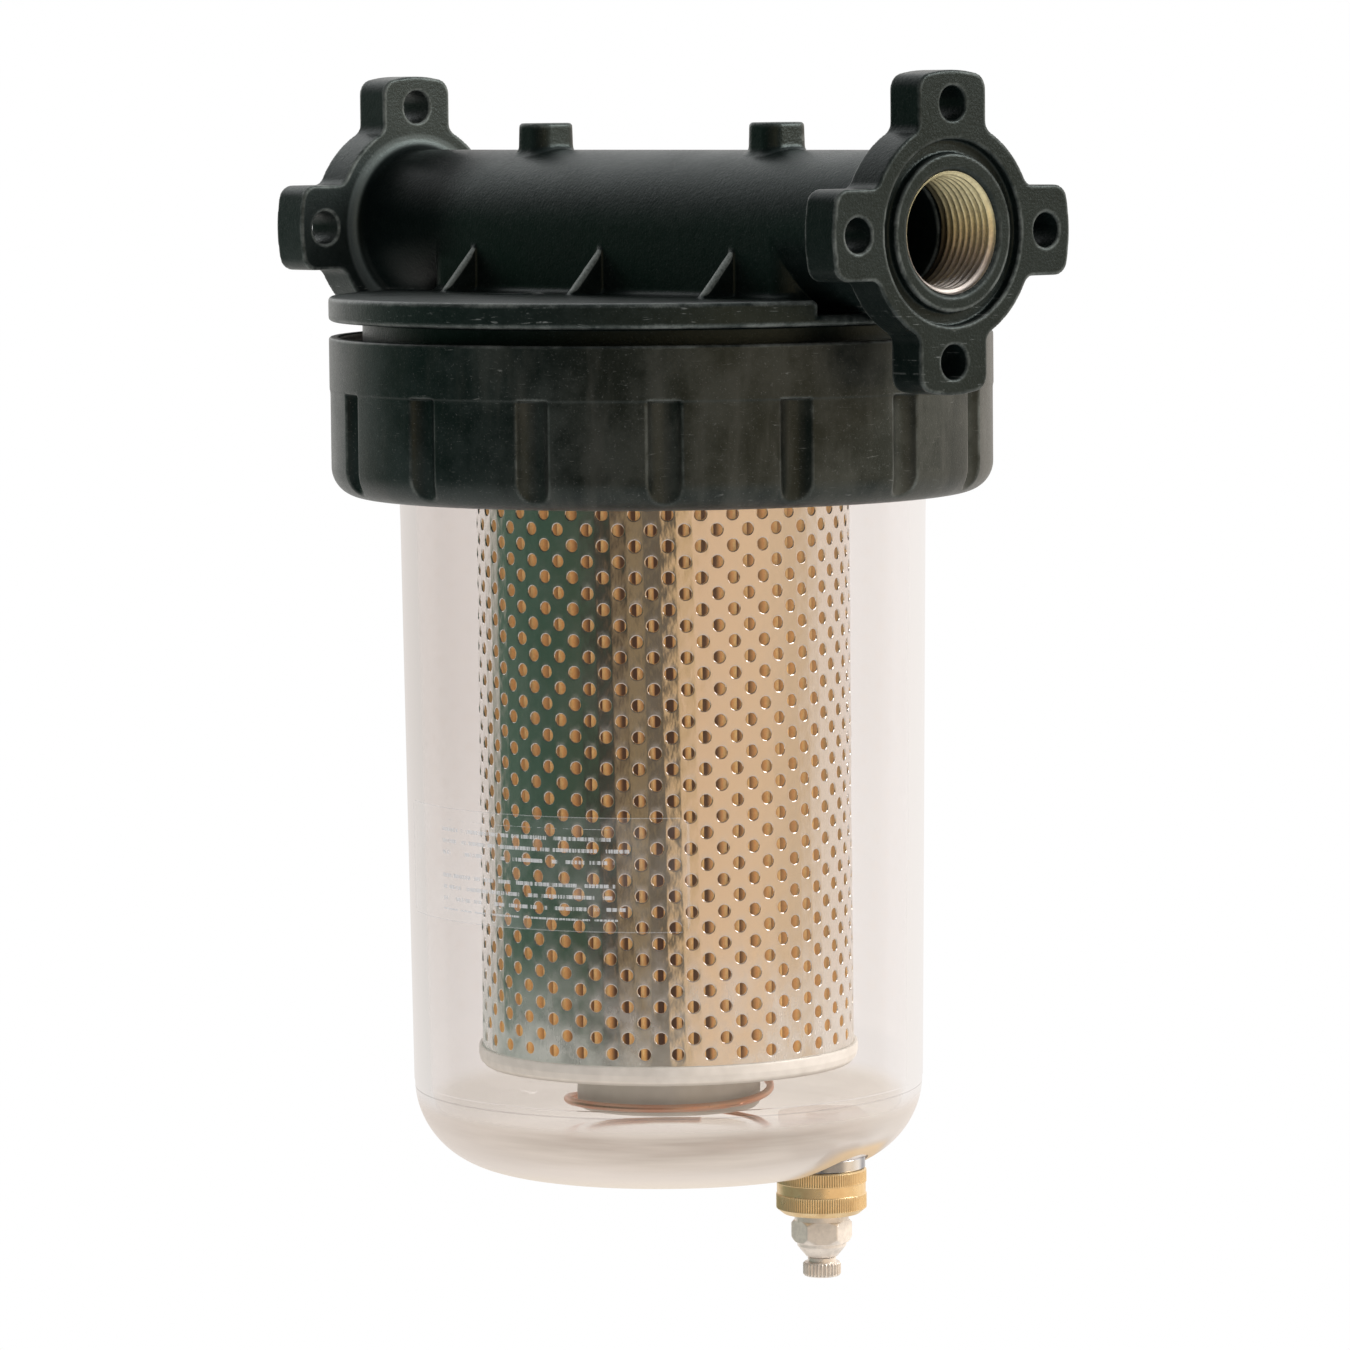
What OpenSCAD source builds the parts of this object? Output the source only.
// In-line bowl filter with twin flanged ports, threaded retaining ring,
// clear sediment bowl, pleated cartridge and a bottom drain valve.
// Millimetres, +Z up. The origin is where the port axis (X) crosses the
// bowl axis (Z). Threads are drawn as plain running cylinders.

/* [Ports] */
// Distance between the two port flange faces
port_span = 242.6; // [238:0.2:248]
// Outside radius of the port tube
tube_r = 22.4; // [22:0.1:23]
// Thickness of each port flange
flange_t = 12; // [10:0.5:13]
// Radius of the round middle of the flange
flange_r = 30.5; // [30:0.1:31]
// Outer radius of the four flange lugs
lug_r = 44; // [43.5:0.1:45]
// Width of a flange lug
lug_w = 24.8; // [23:0.1:25.5]
// Pitch circle of the flange bolt holes
bolt_pcd = 70; // [69:0.5:71]
// Radius of a flange bolt hole
bolt_hole_r = 5.2; // [4.8:0.1:5.8]
// Wall radius of the tapped port
port_r = 16.65; // [16.4:0.05:16.8]
// Depth of the tapped port
port_depth = 22; // [18:1:26]

/* [Head] */
// Radius of the cover plate
plate_r = 94.6; // [93:0.1:96]
// Underside of the cover plate below the port axis
plate_bottom = 25.2; // [24:0.1:26]
// Thickness of the cover plate
plate_t = 7.1; // [6.5:0.1:8]
// Spacing of the two bracket bosses on top
boss_spacing = 100; // [96:1:104]
// Height of the boss tops above the port axis
boss_top = 30.1; // [29:0.1:32]
// Radius of a tapped bracket hole
boss_hole_r = 3; // [2.5:0.25:3.25]
// Outer radius of the external thread on the neck
neck_thread_r = 90; // [89.8:0.1:90.1]
// Bottom of the neck below the port axis
neck_bottom = 60; // [59:0.5:60]

/* [Retaining ring] */
// Outer radius of the retaining ring
ring_r = 94.6; // [94.2:0.1:96]
// Top of the ring below the port axis
ring_top = 29.6; // [29:0.1:31]
// Bottom of the ring below the port axis
ring_bottom = 75; // [74:0.5:77]
// Number of grip flutes
flutes = 16; // [12:1:20]
// Angle of the first flute
flute_phase = -40.6; // [-60:0.2:60]

/* [Bowl] */
// Outer radius of the bowl under the ring
bowl_r = 75; // [74.6:0.1:75.2]
// Outer radius at the bottom of the wall
bowl_low_r = 73; // [72:0.1:74]
// Bottom of the bowl below the port axis
bowl_bottom = 268; // [267.5:0.1:268.5]
// Wall thickness
bowl_wall = 4.5; // [4:0.1:5]

/* [Cartridge] */
// Outer radius of the perforated tube
tube_out_r = 53.3; // [52.8:0.1:53.3]
// Top rim of the bottom cap below the port axis
cap_rim = 232.7; // [232:0.1:233]
// Number of paper pleats
pleats = 60; // [40:1:72]

/* [Spring] */
// Coil radius at the wire centre
coil_r = 29.2; // [29:0.1:30]
// Wire radius
wire_r = 1.1; // [0.9:0.05:1.2]
// Pitch of the free turn
coil_pitch = 15.2; // [14:0.1:16]

/* [Drain valve] */
// Valve axis position along the ports
drain_x = 50.9; // [50:0.1:52]
// Valve axis position across the ports
drain_y = 12.7; // [12:0.1:13.5]
// Outer radius of the union nut
union_r = 12.84; // [12.5:0.02:13]
// Across-flats size of the valve hexagon
hex_af = 15; // [14:0.5:16]
// Radius of the drain knob
knob_r = 5.55; // [5.3:0.05:6]

/* [Hidden] */
$fn = 96;
face_x = port_span / 2;
back_x = face_x - flange_t;
plate_low = -plate_bottom;
plate_top = -(plate_bottom - plate_t);

// ---------- helpers ----------

// Points of an arc in a plane, both ends included
function arc_points(centre_x, centre_y, radius, start, end, steps) =
  [for (i = [0 : steps]) let (angle = start + (end - start) * i / steps)
    [centre_x + radius * cos(angle), centre_y + radius * sin(angle)]];

// Rectangle centred on the origin with rounded corners
module round_rect(half_x, half_y, corner_r) {
  inner_x = half_x - corner_r;
  inner_y = half_y - corner_r;
  translate([-inner_x, -half_y]) square([2 * inner_x, 2 * half_y]);
  translate([-half_x, -inner_y]) square([2 * half_x, 2 * inner_y]);
  for (x = [-inner_x, inner_x], y = [-inner_y, inner_y])
    translate([x, y]) circle(r = corner_r, $fn = 32);
}

// Rectangle in a turned profile, between two radii and two heights
module section(r_in, r_out, low, high) {
  translate([r_in, low]) square([r_out - r_in, high - low]);
}

// Solid ring of rectangular section
module ring(r_in, r_out, low, high) {
  rotate_extrude() section(r_in, r_out, low, high);
}

// Upright disc between two heights
module disc(radius, low, high) {
  translate([0, 0, low]) cylinder(h = high - low, r = radius);
}

// Turns children to point along +X from the given x
module along_x(x) {
  translate([x, 0, 0]) rotate([0, 90, 0]) children();
}

// Cylinder along X
module x_rod(radius, start, end) {
  along_x(start) cylinder(h = end - start, r = radius);
}

// Children and their mirror copy at the -X end
module both_ends() {
  for (side = [0, 1]) mirror([side, 0, 0]) children();
}

// Children and their mirror copy on the -Y side
module both_sides() {
  for (side = [0, 1]) mirror([0, side, 0]) children();
}

// ---------- head ----------

boss_places = [-boss_spacing / 2, boss_spacing / 2];
web_end_x = 78;          // end of the web under the tube, start of the plate notch
passage_r = 13;          // vertical passages and spigot bore
bore_r = 15.15;          // horizontal bores
bore_end_x = face_x - 10;
spigot_boss_low = -46;
spigot_top = -33;
seal_in_r = 80;
bowl_top = -62;

// One flange lug along +X with rounded outer corners and root fillets
module lug_2d() {
  half_w = lug_w / 2;
  corner_r = 3.4;
  corner_y = half_w - corner_r;
  corner_x = sqrt(pow(lug_r - corner_r, 2) - pow(corner_y, 2));
  // stretches the wedge beyond the lug's outer arc
  reach = 1.25 * lug_r / (lug_r - corner_r);
  root_r = 2;
  root_y = half_w + root_r;
  root_x = sqrt(pow(flange_r + root_r, 2) - root_y * root_y);
  // from the root fillet centre to where it touches the flange circle
  touch = flange_r / (flange_r + root_r);
  translate([0, -half_w]) square([corner_x, lug_w]);
  for (side = [-1, 1]) translate([corner_x, side * corner_y]) circle(r = corner_r, $fn = 48);
  intersection() {
    circle(r = lug_r);
    polygon([[0, 0], [reach * corner_x, reach * corner_y], [reach * corner_x, -reach * corner_y]]);
  }
  both_sides() difference() {
    polygon([[root_x - 6, half_w - 1], [root_x * touch, root_y * touch],
             [root_x, root_y], [root_x, half_w - 1]]);
    translate([root_x, root_y]) circle(r = root_r, $fn = 48);
  }
}

module flange_2d() {
  circle(r = flange_r);
  for (angle = [0 : 90 : 270]) rotate(angle) lug_2d();
}

// Flange on the +X end with its root fillet
module flange() {
  fillet_r = 3.6;
  along_x(back_x) linear_extrude(height = flange_t) flange_2d();
  translate([back_x, 0, 0]) rotate([0, -90, 0]) rotate_extrude() difference() {
    section(tube_r - 2, tube_r + fillet_r, -1, fillet_r);
    translate([tube_r + fillet_r, fillet_r]) circle(r = fillet_r, $fn = 64);
  }
}

// Bracket boss on the tube crown
module boss(x) {
  sink = 5;
  translate([x, 0, tube_r - sink]) linear_extrude(height = boss_top - tube_r + sink)
    round_rect(5.25, 6.5, 1.6);
}

// Triangular rib between the tube wall and the plate
module gusset(x) {
  thick = 2;
  top = -4.8;
  foot_y = tube_r + 12.6;
  translate([x - thick / 2, 0, 0]) rotate([90, 0, 90]) linear_extrude(height = thick)
    polygon([[tube_r - 1, top], [tube_r, top], [foot_y, plate_top],
             [foot_y, plate_top - 1], [tube_r - 1, plate_top - 1]]);
}

// Cover plate with a rounded rim, a notch under each port and a round recess
module cover_plate() {
  edge_r = 1.5;
  difference() {
    rotate_extrude() union() {
      section(0, plate_r - edge_r, plate_low, plate_top);
      section(0, plate_r, plate_low + edge_r, plate_top - edge_r);
      for (z = [plate_low + edge_r, plate_top - edge_r])
        translate([plate_r - edge_r, z]) circle(r = edge_r, $fn = 32);
    }
    both_ends() translate([web_end_x, -tube_r, -22.2]) cube([30, 2 * tube_r, 10]);
    // shallow round witness recess
    translate([-27.5, -32, plate_top - 0.8]) cylinder(h = 2, r = 8.5);
  }
}

// Neck with relief and external thread band
module neck() {
  thread_top = -33;
  ring(79, 85, -neck_bottom, plate_low + 1);
  ring(80, neck_thread_r, -neck_bottom + 1, thread_top);
  ring(80, neck_thread_r - 1, -neck_bottom, -neck_bottom + 1.5);
}

// Tapped port, mouth chamfer, face groove and bolt holes of the +X flange
module port_cuts() {
  chamfer = 1.4;
  x_rod(port_r, face_x - port_depth, face_x + 1);
  along_x(face_x - chamfer) cylinder(h = chamfer + 0.1, r1 = port_r - 0.1, r2 = port_r + chamfer);
  along_x(face_x - 2.8) linear_extrude(height = 4) difference() {
    circle(r = 25.3);
    circle(r = 21.5);
  }
  for (angle = [0 : 90 : 270]) rotate([angle, 0, 0])
    translate([0, 0, bolt_pcd / 2]) x_rod(bolt_hole_r, back_x - 1, face_x + 1, $fn = 48);
}

// Two separate horizontal bores and their passages down into the bowl
module passages() {
  x_rod(bore_r, -bore_end_x, -40);
  x_rod(bore_r, -2, bore_end_x);
  translate([-53, 0, 0]) disc(passage_r, plate_low - 2, 0);
  disc(passage_r, plate_low - 22, 0);
  // bore for the outlet spigot
  disc(16, spigot_boss_low - 1, spigot_top);
}

module head_casting() {
  color([0.09, 0.09, 0.1]) difference() {
    union() {
      x_rod(tube_r, -back_x - 1, back_x + 1);
      // web that joins the tube to the plate
      translate([-web_end_x, -tube_r, plate_top - 1])
        cube([2 * web_end_x, 2 * tube_r, 1 - plate_top]);
      both_ends() flange();
      for (x = boss_places) boss(x);
      for (x = [-56, 0, 56]) both_sides() gusset(x);
      cover_plate();
      neck();
      // boss that holds the outlet spigot
      disc(24, spigot_boss_low, plate_low + 1);
    }
    both_ends() port_cuts();
    passages();
    // tapped bracket holes
    for (x = boss_places)
      translate([x, 0, boss_top - 11]) cylinder(h = 12, r = boss_hole_r, $fn = 48);
  }
}

// Turned tube that carries the cartridge grommet
module outlet_spigot() {
  shoulder = spigot_boss_low - 0.05;
  // radius, height
  profile = [[passage_r, -33.1], [15.95, -33.1], [15.95, shoulder], [19, shoulder],
             [19, -61], [17.5, -62.5], [passage_r, -62.5]];
  color([0.72, 0.73, 0.75]) rotate_extrude() polygon(profile);
}

// ---------- retaining ring ----------

module retaining_ring() {
  low = -ring_bottom;
  high = -ring_top;
  in_r = 75.9;
  round_r = 8.5;    // outer bottom edge
  lead_in_r = 91.5;
  cut_r = 70;       // inner radius of the profile cuts
  color([0.2, 0.2, 0.21]) difference() {
    rotate_extrude() difference() {
      union() {
        section(in_r, ring_r, low + round_r, high - 1);
        section(in_r, ring_r - round_r, low, low + 9);
        translate([ring_r - round_r, low + round_r]) circle(r = round_r, $fn = 96);
        section(lead_in_r, ring_r - 0.8, high - 1.5, high);
      }
      // lead-in, running thread band and bowl flange seat
      section(cut_r, lead_in_r, -32, -27);
      section(cut_r, neck_thread_r + 0.08, -60, -31);
      section(cut_r, 86.4, -68.05, -59.05);
    }
    // grip flutes, each an upright round channel that runs out at the bottom edge
    for (i = [0 : flutes - 1]) rotate(flute_phase + i * 360 / flutes)
      translate([ring_r + 1.7, 0, 0]) disc(5.1, low - 1, -44.8, $fn = 48);
  }
}

// ---------- bowl ----------

bowl_corner_r = 25;
taper_top = -82;     // the wall narrows from here down to the corner
drain_pad_top = -255;
pocket_top = -262;

// Arc of the bottom corner, from a start angle up to the wall
function bowl_corner(radius, start) =
  arc_points(bowl_low_r - bowl_corner_r, -bowl_bottom + bowl_corner_r, radius, start, 0, 14);

// Outside of the bowl below its flange, as (radius, height)
module bowl_outline() {
  collar_r = bowl_r + 0.3;
  polygon(concat([[0, -bowl_bottom]], bowl_corner(bowl_corner_r, -90),
    [[bowl_r, taper_top], [collar_r, -72], [collar_r, bowl_top], [0, bowl_top]]));
}

// Inside of the bowl, open past the top, as (radius, height)
module bowl_core() {
  in_r = bowl_r - bowl_wall;
  polygon(concat([[0, -bowl_bottom + 5]], bowl_corner(bowl_corner_r - bowl_wall, -77),
    [[in_r, taper_top], [in_r, bowl_top + 2], [0, bowl_top + 2]]));
}

module bowl() {
  color([0.94, 0.92, 0.9, 0.35]) difference() {
    union() {
      rotate_extrude() difference() {
        union() {
          bowl_outline();
          section(0, 86, -68, bowl_top);
        }
        bowl_core();
      }
      // spring locating ring on the floor
      ring(24.5, 27.4, -264, -260);
      // flat inner pad for the drain insert
      intersection() {
        rotate_extrude() bowl_outline();
        at_drain() disc(15.5, pocket_top, drain_pad_top);
      }
    }
    // outside pocket and bore for the drain
    at_drain() disc(13.3, -275, pocket_top);
    at_drain() disc(9.1, -275, -240);
  }
}

// Flat seal between the neck and the bowl flange
module bowl_seal() {
  color([0.06, 0.06, 0.06]) ring(seal_in_r, 85.4, bowl_top, -neck_bottom);
}

// Thin clear film wrapped on part of the bowl wall
module bowl_label() {
  taper = (bowl_r - bowl_low_r) / (bowl_bottom - bowl_corner_r + taper_top);
  // distance out from the wall, height
  profile = [[0.03, -192.5], [0.2, -192.5], [0.2, -160.5], [0.03, -160.5]];
  color([0.96, 0.96, 0.96, 0.4]) rotate([0, 0, -116]) rotate_extrude(angle = 79)
    polygon([for (point = profile)
      [bowl_r + taper * (point[1] - taper_top) + point[0], point[1]]]);
}

// ---------- cartridge ----------

cap_low = -(cap_rim + 5.8);
cap_floor = cap_low + 1.05;    // parts stand just clear of the bottom cap
cap_ceiling = -51.45;          // and just clear of the top cap

// Rounded outer corner of a pressed part
function pressed_corner(x, z) = arc_points(x, z, 3, -84, -6, 6);

module top_cap() {
  // radius, height
  profile = [[22.6, -50.6], [22.6, -51.4], [53.4, -51.4], [53.4, -57], [54.3, -57],
             [54.3, -50.6]];
  color([0.75, 0.76, 0.76]) rotate_extrude() polygon(profile);
}

module top_grommet() {
  // radius, height
  profile = [[19.05, -46.3], [24, -46.3], [24, -50.55], [22.5, -50.55], [22.5, -51.45],
             [23.6, -51.45], [23.6, -55.9], [19.05, -57.8]];
  color([0.07, 0.07, 0.07]) rotate_extrude() polygon(profile);
}

module perforated_tube() {
  color([0.8, 0.8, 0.78]) ring(tube_out_r - 0.45, tube_out_r, cap_floor, cap_ceiling);
}

// Folded paper wall: a closed zigzag sheet
module pleated_media() {
  low = cap_low + 3.2;
  function zigzag(inset) = [for (i = [0 : 2 * pleats - 1])
    let (radius = (i % 2 == 0 ? 51.6 : 27) - inset, angle = i * 180 / pleats)
    [radius * cos(angle), radius * sin(angle)]];
  color([0.72, 0.55, 0.36]) translate([0, 0, low]) linear_extrude(height = -54.2 - low)
    difference() {
      polygon(zigzag(0));
      polygon(zigzag(3.2));
    }
}

// Sealing compound that bonds the paper to both caps
module potting_rings() {
  color([0.85, 0.84, 0.8]) {
    ring(24.6, 52.5, cap_floor, cap_low + 3.15);
    ring(24.6, 52.5, -54.15, cap_ceiling);
  }
}

// Thin inner tube with staggered rows of slots
module core_tube() {
  color([0.7, 0.71, 0.72]) difference() {
    ring(22.7, 23.3, cap_floor, -57.6);
    for (row = [0 : 5], angle = [0 : 45 : 135]) rotate(angle + 22.5 * (row % 2))
      translate([-30, -2, -228 + row * 28]) cube([60, 4, 18]);
  }
}

module bottom_cap() {
  color([0.78, 0.78, 0.78]) rotate_extrude()
    polygon(concat([[0, cap_low], [51.5, cap_low]], pressed_corner(51.5, cap_low + 3),
      [[54.5, -cap_rim], [53.35, -cap_rim], [53.35, cap_low + 1], [0, cap_low + 1]]));
}

// Pressed cup that centres the spring
module spring_cup() {
  rim = cap_low - 0.02;
  color([0.7, 0.7, 0.72]) rotate_extrude()
    polygon(concat([[0, -251.5], [23.3, -251.5]], pressed_corner(23.3, -248.5),
      [[26.3, rim], [25.5, rim], [25.5, -248.4], [23.4, -250.7], [0, -250.7]]));
}

// ---------- spring ----------

// Height of the wire centre at an angle: one free turn, then a dead turn on the floor
function coil_z(angle) = let (phase = angle + 41.1) max(-261.85,
  -247.7 + coil_pitch * phase / 360 - 2.2 * cos(phase - 90) - 0.4 * cos(phase));

module coil_spring() {
  steps = 76;
  sides = 10;
  start = 138.9;
  end = -600;
  points = [for (i = [0 : steps], j = [0 : sides - 1])
    let (angle = start + (end - start) * i / steps,
         around = j * 360 / sides,
         radius = coil_r + wire_r * cos(around))
    [radius * cos(angle), radius * sin(angle), coil_z(angle) + wire_r * sin(around)]];
  // two end caps, then two triangles for each wall patch
  faces = concat(
    [[for (j = [0 : sides - 1]) j]],
    [[for (j = [sides - 1 : -1 : 0]) steps * sides + j]],
    [for (i = [0 : steps - 1], j = [0 : sides - 1])
      let (this = i * sides + j, next = i * sides + (j + 1) % sides)
      each [[this, this + sides, next], [next, this + sides, next + sides]]]);
  color([0.75, 0.5, 0.4]) polyhedron(points = points, faces = faces, convexity = 6);
}

// ---------- drain valve ----------

insert_r = 9;
insert_low = -271;
insert_head_low = -253.5;
washer_low = -272;
hex_low = -285;
hex_top = -279.8;

// Places its children on the drain valve axis
module at_drain() {
  translate([drain_x, drain_y, 0]) children();
}

// Threaded bush through the bowl floor with an inside hexagon head
module drain_insert() {
  color([0.75, 0.76, 0.77]) at_drain() difference() {
    union() {
      disc(insert_r, insert_low, -252);
      disc(12.7, insert_head_low, insert_head_low + 4, $fn = 6);
    }
    disc(4.5, insert_low - 1, -248);
  }
}

module insert_gasket() {
  color([0.05, 0.05, 0.05]) at_drain()
    ring(insert_r + 0.15, 11.9, drain_pad_top, insert_head_low);
}

// Plain lock collar under the bowl
module drain_collar() {
  color([0.68, 0.69, 0.71]) at_drain() ring(insert_r + 0.05, 12.5, -265.5, pocket_top);
}

module union_nut() {
  groove_r = union_r - 0.5;
  // radius, height
  profile = [[8, -278.4], [union_r - 1.8, -278.4], [union_r, -276.9], [union_r, -272.7],
             [groove_r, -272.6], [groove_r, -269.6], [union_r, -269.5], [union_r, -266],
             [union_r - 0.4, -265.6], [8, -265.6]];
  color([0.8, 0.66, 0.36]) at_drain() rotate_extrude() difference() {
    polygon(profile);
    section(5, insert_r + 0.08, -274.15, -262.15);
  }
}

module valve_body() {
  flat_r = hex_af / 2;
  // radius, height; chamfers the hexagon corners
  chamfer_profile = [[0, hex_low], [flat_r, hex_low], [flat_r + 1.3, -284.2],
                     [flat_r + 1.3, -280.8], [flat_r, hex_top], [0, hex_top]];
  color([0.72, 0.72, 0.7]) at_drain() difference() {
    union() {
      disc(9, -274.1, washer_low);
      disc(7.7, -280, -274);
      intersection() {
        disc(flat_r / cos(30), hex_low, hex_top, $fn = 6);
        rotate_extrude() polygon(chamfer_profile);
      }
      disc(7, -286.5, -284.5);
      translate([0, 0, -289.5]) cylinder(h = 3.02, r1 = 4.6, r2 = 7);
    }
    // narrow bore at the top, wider screw bore below
    disc(2.2, -280, -271);
    disc(3.08, -290, -279);
  }
}

module valve_washer() {
  color([0.85, 0.84, 0.8]) at_drain() ring(4.6, 8.8, washer_low, insert_low);
}

// Soft pad on the tip of the drain screw
module drain_pad() {
  color([0.08, 0.08, 0.08]) at_drain() disc(2.95, -280.4, -279.02);
}

module drain_screw() {
  // radius, height
  knob_profile = [[0, -296.4], [knob_r - 0.6, -296.4], [knob_r, -295.8], [knob_r, -292.1],
                  [knob_r - 0.6, -291.5], [0, -291.5]];
  color([0.72, 0.7, 0.62]) at_drain() difference() {
    union() {
      disc(2.4, -286, -280.45);
      disc(3.0, -289.7, -285.5);
      disc(4.2, -291.6, -289.6);
      rotate_extrude() polygon(knob_profile);
    }
    // centre bore from below and a cross hole at its top
    disc(1.3, -297, -284);
    translate([0, 0, -284.2]) rotate([0, 90, 0]) cylinder(h = 8, r = 0.9, center = true, $fn = 32);
    // groove for the o-ring
    ring(2.3, 3.6, -288.6, -287.2);
  }
}

module screw_o_ring() {
  color([0.05, 0.05, 0.05]) at_drain() rotate_extrude()
    translate([2.68, -287.9]) circle(r = 0.36, $fn = 32);
}

head_casting();
outlet_spigot();
retaining_ring();
bowl();
bowl_seal();
bowl_label();
top_cap();
top_grommet();
perforated_tube();
pleated_media();
potting_rings();
core_tube();
bottom_cap();
spring_cup();
coil_spring();
drain_insert();
insert_gasket();
drain_collar();
union_nut();
valve_body();
valve_washer();
drain_pad();
drain_screw();
screw_o_ring();
